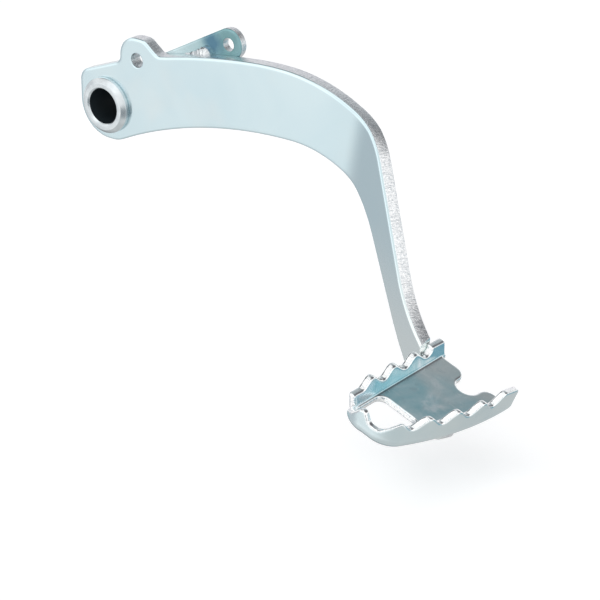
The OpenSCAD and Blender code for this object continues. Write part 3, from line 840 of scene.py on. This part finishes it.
def front_edge(q):
    """Height of the front lip: a wave of teeth that runs out to a slope at the open end."""
    t = PAD_IN - FRONT_FIRST
    wave = FRONT_H + FRONT_WAVE * np.cos(2 * math.pi * (q - t) / FRONT_PITCH)
    return np.where(q > t, FRONT_H + FRONT_WAVE - LIP_SLOPE * (q - t), wave)


def rear_edge(q):
    """Height of the rear flange: teeth on a sloping middle line, low at one end, level at the other."""
    t = FL_IN - REAR_FIRST
    first, less = REAR_MID_ENDS
    mid = REAR_OUT + (REAR_IN - REAR_OUT) * (q - FL_OUT - first) / (FL_IN - FL_OUT - less)
    wave = np.where(q < t - REAR_TEETH * REAR_PITCH, -1, np.cos(2 * math.pi * (q - t) / REAR_PITCH))
    return np.where(q > t - REAR_PITCH / 4, mid + REAR_WAVE - REAR_LEVEL, mid + REAR_WAVE * wave)


def pad_plans():
    """In plan: the upright walls' outer face, the floor's outline with its notch, and the window."""
    front = (DEPTH - FRONT_R, PAD_IN - FRONT_SET)
    turn_q = PAD_OUT + CORNER_R
    turn_p = front[0] + math.sqrt((FRONT_R - CORNER_R) ** 2 - (turn_q - front[1]) ** 2)
    meet = math.atan2(turn_q - front[1], turn_p - front[0])
    wall = [(WALL_BEHIND, OPEN_END), (DEPTH, OPEN_END)] + polar(front, FRONT_R, np.linspace(0, meet, 60))
    wall += polar((turn_p, turn_q), CORNER_R, np.linspace(meet, -math.pi / 2, 30)[1:])
    wall += [(WALL_BEHIND, PAD_OUT)]

    half = NOTCH_W / 2
    rear, ahead, end = NOTCH_MID - half, NOTCH_MID + half, PAD_IN - NOTCH_DEEP + half
    plan = [(BEHIND, BEYOND), (BEHIND, FL_IN), (FLANGE_FRONT, FL_IN), (FLANGE_FRONT, PAD_IN)]
    plan += corner((0, PAD_IN), (rear, PAD_IN), (rear, end), MOUTH_R)
    plan += polar((NOTCH_MID, end), -half, np.linspace(0, math.pi, 30))
    plan += corner((ahead, end), (ahead, PAD_IN), (AHEAD, PAD_IN), MOUTH_R)
    plan += [(AHEAD, PAD_IN), (AHEAD, BEYOND)]

    web = front[0] + math.sqrt(FRONT_R ** 2 - (WIN_OUT + WIN_R - front[1]) ** 2) - WIN_WEB
    window = rounded([(WIN_REAR, WIN_OUT), (web, WIN_OUT), (web, WIN_IN), (WIN_REAR, WIN_IN)], [WIN_R] * 4)
    return wall, plan, window


def pad_edges():
    """Along the pad: the front lip and the rear flange by height; along its depth: the low tooth."""
    qs = np.linspace(-112, 0, 260)
    lip_end = PAD_IN - LIP_SET
    crest_line = [(q, h) for q, h in zip(qs, front_edge(qs)) if q < lip_end - LIP_TEETH_END]
    top = float(front_edge(np.array(lip_end)))
    lip = [(BEYOND, DOWN), (BEYOND, float(front_edge(qs[0])))] + crest_line
    foot = lip_end - LIP_FOOT_W
    lip += bends([crest_line[-1], (lip_end, top), (lip_end, -PAD_T), (foot, -PAD_T)], [LIP_TIP_R, LIP_FOOT_R])
    lip += [(foot, -PAD_T), (foot, DOWN)]

    qr = np.linspace(FL_OUT - 1, 0, 200)
    teeth = [(BEYOND, DOWN), (BEYOND, UP), (FL_OUT - 1, UP)] + list(zip(qr, rear_edge(qr))) + [(0, DOWN)]

    low = TOOTH_BEHIND + bends(TOOTH_LINE, TOOTH_RADII) + TOOTH_AHEAD
    low += [(AHEAD, UP), (AHEAD, DOWN), (TOOTH_BEHIND[0][0], DOWN)]
    return lip, teeth, low


def toe_pad_mesh():
    """Vertices, faces, and how far each vertex belongs to a cut edge and to the outer side."""
    wall, plan, window = pad_plans()
    lip, teeth, low = pad_edges()
    p, q, h = (np.arange(*limits, STEP) for limits in (GRID_P, GRID_Q, GRID_H))
    P, Q, H = p[:, None, None], q[None, :, None], h[None, None, :]
    c, s = cos_sin(PITCH)
    # depth behind the upright walls' outer face, and ahead of the rear flange's back
    side = depth_in(wall, p, q)[:, :, None] + np.maximum(H - FOLD_R, 0) * math.tan(rad(LIP_LEAN))
    rear = P * c + H * s + PAD_T

    def shell(side, rear, floor, corner_r, wall_r, rear_r):
        """Depth inside walls, flange and floor; wall_r and rear_r are the folds at the floor."""
        u, v = np.maximum(corner_r - side, 0), np.maximum(corner_r - rear, 0)
        w = u / (u + v + 1e-9)
        walls = round_min(side, rear, corner_r)
        return round_min(walls, floor + 0 * walls, rear_r + (wall_r - rear_r) * w, s * (1 - w) + WALL_COS * w)

    outer = shell(side, rear, H + PAD_T, REAR_R, FOLD_R + PAD_T, REAR_FOLD_OUT)
    f = np.minimum(outer, -shell(side - PAD_T, rear - PAD_T, H, REAR_R - PAD_T, FOLD_R, REAR_FOLD_IN))
    # the sheet stays where each cut's depth is positive; either() keeps a cut to its own edge
    everywhere = 0 * f
    behind_lip = np.where(H < LOW_H, LIP_LOW_P - P, LIP_P - P + 0 * H)
    cuts = [(depth_in(plan, p, q)[:, :, None] + everywhere, EDGE_R),
            (-depth_in(window, p, q)[:, :, None] + everywhere, WINDOW_EDGE_R),
            (either(depth_in(lip, q, h)[None], behind_lip + everywhere), EDGE_R),
            (either(depth_in(teeth, q, h)[None], P - FLANGE_P + everywhere), EDGE_R),
            (either(depth_in(low, p, h)[:, None, :], Q - (FL_OUT - 1) + everywhere, 1.5), EDGE_R),
            (either(Q - FL_OUT + everywhere, P + FLANGE_HEEL + everywhere, 1.0), EDGE_R)]
    for depth, radius in cuts:
        f = round_min(f, depth, radius)
    f[0] = f[-1] = f[:, 0] = f[:, -1] = f[:, :, 0] = f[:, :, -1] = OUTSIDE
    origin = (p[0], q[0], h[0])
    v, faces = surface(f, origin, STEP)

    nearest = tuple(np.rint((v - origin) / STEP).astype(int).T)
    near_cut = np.min([depth for depth, _ in cuts], 0)[nearest]
    skin = np.minimum(np.minimum(side, rear), H + PAD_T)[nearest]
    marks = {"cut": np.clip(CUT_REACH - near_cut / EDGE_R, 0, 1), "outer": np.clip(SKIN_REACH - skin, 0, 1)}
    return np.stack(from_pad(*v.T), 1), faces, marks


pad_verts, pad_faces, pad_marks = toe_pad_mesh()
pad = add_object("folded_toe_pad", pad_verts, pad_faces, (M_PAD,))
for mark, level in pad_marks.items():
    pad.data.attributes.new(mark, "FLOAT", "POINT").data.foreach_set("value", level)
dress(pad)
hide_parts("toe_pad")


# ---- weld beads ----
BEAD_DIP, RING_DIP = 0.16, 0.13          # how much thinner a bead is between its puddles
RINGS_A_PUDDLE, BEAD_ROUND = 12, 40
BEAD_BOW = 0.35                          # how far its rings bow along it


def puddles(k, dip):
    """Thickness of a row of overlapping puddles, one to each whole k."""
    return 1 - dip * (2 * abs(k - math.floor(k) - 0.5)) ** 2


def weld(name, verts, faces, node):
    obj = add_object(name, verts, faces, (M_WELD,))
    fix_sides(obj)
    dress(obj)
    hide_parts(node)


def bead(name, ends, size, ripples, node, deep=9):
    """A straight bead; size(s) gives its radius along it, deep how far it may go inboard."""
    a, b = (np.array(end, float) for end in ends)
    axis = (b - a) / np.linalg.norm(b - a)
    side = np.cross(axis, (0, 0, 1.0))
    side /= np.linalg.norm(side)
    up = np.cross(side, axis)
    rings, n = RINGS_A_PUDDLE * ripples, BEAD_ROUND
    verts = [a * MM]
    for i in range(1, rings):
        s = i / rings
        k = ripples * s
        for j in range(n):
            t = 2 * math.pi * j / n
            lump = 1 + 0.05 * math.sin(3 * t + 7 * s) + 0.04 * math.sin(9.0 * k + 2 * t)
            r = size(s) * puddles(k, BEAD_DIP) * lump
            bow = BEAD_BOW * math.cos(t) ** 2
            across = max(r * math.cos(t), -deep)
            verts.append((a + (b - a) * s + axis * bow + side * across + up * r * math.sin(t)) * MM)
    verts.append(b * MM)
    faces = [[0, 1 + (j + 1) % n, 1 + j] for j in range(n)]
    for i in range(rings - 2):
        o = 1 + i * n
        faces += [[o + j, o + (j + 1) % n, o + n + (j + 1) % n, o + n + j] for j in range(n)]
    o, last = 1 + (rings - 2) * n, len(verts) - 1
    faces += [[o + j, o + (j + 1) % n, last] for j in range(n)]
    weld(name, verts, faces, node)


def even(radius):
    return lambda s: radius * (1 - (2 * s - 1) ** 10) ** 0.5


def crest(s):
    """The top bead's radius: it swells to its peak, then ends round."""
    peak, fall = 0.78, 0.22
    if s < peak:
        return 0.6 + 5.9 * s ** 1.7
    return 4.47 * math.sqrt(max(0, 1 - ((s - peak) / fall) ** 2)) + 0.01


def on_top_edge(x):
    """The point of the arm's upper edge at x, on the lever's face."""
    points = [TOP_START] + arc(TOP_START, TOP_HEADING, *TOP_ARC)
    return (x, Y_BACK, np.interp(x, [p[0] for p in points], [p[1] for p in points]))


def low_flank(xs):
    """Points of the lever's lower flank at distances along it, on the arm's back."""
    flank = [(x, -ROOT_R / math.cos(TAPER) + x * math.tan(TAPER)) for x in xs]
    return [(x, Y_BACK, z) for x, z in raised(flank)]


def under_pad(forward, behind):
    """The point of the pad's underside that lies some mm behind the leg's outer face."""
    cp, sp = cos_sin(PITCH)
    point = np.array([PAD_X + forward * cp - PAD_T * sp, 0, PAD_Z - forward * sp - PAD_T * cp])
    cl, sl = cos_sin(LEAN)
    cb, sb = cos_sin(BEND_A)
    u = np.array([cl, 0, -sl])
    n = np.array([sb * u[0], cb, sb * u[2]])
    axis = np.array([BEND_X, Y_FACE - BEND_R, BEND_Z])
    point[1] = (behind - (point - axis + BEND_HALF * u - BEND_R * n) @ n) / n[1]
    return point


def ring_bead(name, node):
    """The bead round the sleeve, on the lever's back."""
    leg_size, ripples, sunk, bulge, n = 2.9, 26, 0.2, 0.25, 480
    slope = np.linspace(0.02, 1, 6)
    verts, faces = [], []
    for i in range(n):
        t = 2 * math.pi * i / n
        w = puddles(t / (2 * math.pi) * ripples, RING_DIP) + 0.03 * math.sin(5 * t)
        leg = leg_size * w
        row = [(BODY_R - sunk, -sunk), (BODY_R + leg, -sunk)]
        for g in slope:
            out = bulge * w * math.sin(math.pi * g)
            row.append((BODY_R + leg * (1 - g) + out, leg * g + out))
        row.append((BODY_R - sunk, leg))
        verts += [(r * math.cos(t) * MM, (Y_LEVER + y) * MM, r * math.sin(t) * MM) for r, y in row]
    m = len(row)
    for i in range(n):
        o, e = i * m, (i + 1) % n * m
        faces += [[o + j, o + (j + 1) % m, e + (j + 1) % m, e + j] for j in range(m)]
    weld(name, verts, faces, node)


BEAD_R, FOOT_BEAD_R, TOP_BEAD_DEEP = 2.9, 2.8, 2.9
# ends of the beads: x on the arm's top edge, along the lever's lower flank, and forward under the pad
TOP_BEAD, LOW_BEAD, FOOT_BEAD = (43, 59.5), (24.0, 24.0 + 34 * math.cos(TAPER)), (1, 11)
bead("bead_lever_top", [on_top_edge(x) for x in TOP_BEAD], crest, 5, "weld_lever_top", TOP_BEAD_DEEP)
bead("bead_lever_low", low_flank(LOW_BEAD), even(BEAD_R), 10, "weld_lever_low")
bead("bead_pad_outer", [under_pad(p, 0) for p in FOOT_BEAD], even(FOOT_BEAD_R), 4, "weld_pad_outer")
bead("bead_pad_inner", [under_pad(p, ARM_T) for p in FOOT_BEAD], even(FOOT_BEAD_R), 4, "weld_pad_inner")
ring_bead("bead_sleeve", "weld_sleeve")

# ---- stage, light and camera ----
SKY = (1.02, 1.02, 1.02)
PATCHES = [  # a direction, angles from it where the patch is full and where it ends, and its colour
    ((0.0, 0.0, -1.0), 20, 60, (0.64, 0.65, 0.65)),
    ((0.2, 0.72, -0.66), 10, 34, (0.61, 0.61, 0.61)),
    ((0.56, 0.72, -0.41), 10, 27, (0.20, 0.37, 0.44)),
    ((-0.95, -0.16, -0.28), 4, 42, (0.60, 0.615, 0.64)),
    ((-0.56, 0.45, -0.70), 8, 30, (0.36, 0.37, 0.38)),
    ((0.65, -0.64, -0.41), 8, 26, (0.30, 0.33, 0.35)),
    ((-0.56, -0.79, 0.15), 8, 28, (1.35, 1.35, 1.35)),
    ((0.05, -0.55, 0.83), 10, 30, (1.35, 1.35, 1.35)),
    ((-0.56, 0.18, 0.81), 14, 30, (0.06, 0.07, 0.08)),
    ((-0.56, 0.72, 0.41), 10, 34, (0.82, 0.81, 0.84)),
    ((0.02, 0.72, 0.69), 10, 27, (0.41, 0.46, 0.48)),
    ((0.42, 0.64, 0.64), 10, 36, (0.14, 0.14, 0.15)),
    ((0.95, 0.20, 0.27), 10, 30, (1.3, 1.28, 1.27))]
WHITE = (1, 1, 1)
PAPER, PAPER_GLOW = (0.93, 0.935, 0.94, 1), 0.295
FLOOR_HALF, FLOOR_GAP = 4.0, 0.012
CAMERA_AT, CAMERA_DOWN, CAMERA_ROUND, LENS = (0.7527, -0.8321, 0.4032), 24.47, 37.95, 150.0


def studio_world():
    """A studio's soft lights and dark cards by direction; the camera itself sees white."""
    world = bpy.data.worlds.new("studio")
    bpy.context.scene.world = world
    w = Nodes(world, "ShaderNodeOutputWorld")
    coord = w.add("ShaderNodeTexCoord").outputs["Generated"]
    color = SKY
    for direction, full, gone, level in PATCHES:
        toward = {0: coord, 1: Vector(direction).normalized()}
        dot = w.add("ShaderNodeVectorMath", toward, operation="DOT_PRODUCT").outputs["Value"]
        ends = math.cos(rad(gone)), math.cos(rad(full))
        share = w.span(dot, *ends, 0.0, 1.0, interpolation_type="SMOOTHSTEP")
        color = w.mix(share, color, level)
    seen = w.mix(w.add("ShaderNodeLightPath").outputs["Is Camera Ray"], color, WHITE)
    shader = w.add("ShaderNodeBackground", {0: seen, 1: 1.0})
    w.tree.links.new(shader.outputs[0], w.out.inputs[0])


def studio_floor(z):
    """Pale paper that the camera sees near white, with the object's shadow; clear from below."""
    m = material("floor_paper")
    diffuse = m.add("ShaderNodeBsdfDiffuse", {"Color": PAPER}).outputs[0]
    glow = m.add("ShaderNodeEmission", {"Color": (*WHITE, 1), "Strength": PAPER_GLOW}).outputs[0]
    lit = m.add("ShaderNodeAddShader", {0: diffuse, 1: glow}).outputs[0]
    seen = m.add("ShaderNodeLightPath").outputs["Is Camera Ray"]
    paper = m.add("ShaderNodeMixShader", {0: seen, 1: diffuse, 2: lit}).outputs[0]
    below = m.add("ShaderNodeNewGeometry").outputs["Backfacing"]
    clear = m.add("ShaderNodeBsdfTransparent").outputs[0]
    both = m.add("ShaderNodeMixShader", {0: below, 1: paper, 2: clear}).outputs[0]
    m.tree.links.new(both, m.out.inputs[0])
    r = FLOOR_HALF
    corners = [(-r, -r, z), (r, -r, z), (r, r, z), (-r, r, z)]
    floor = add_object("floor", corners, [[0, 1, 2, 3]], (m.owner,), smooth=False)
    floor.visible_glossy = False


studio_world()
studio_floor(cad_box[0][2] - FLOOR_GAP)

cam = bpy.data.cameras.new("camera")
cam.lens, cam.sensor_width = LENS, 36.0
cam.clip_start, cam.clip_end = 0.05, 20
view = bpy.data.objects.new("camera", cam)
view.location = CAMERA_AT
view.rotation_euler = (rad(90 - CAMERA_DOWN), 0, rad(CAMERA_ROUND))
bpy.context.scene.collection.objects.link(view)
bpy.context.scene.camera = view
bpy.context.scene.view_settings.view_transform = "Standard"
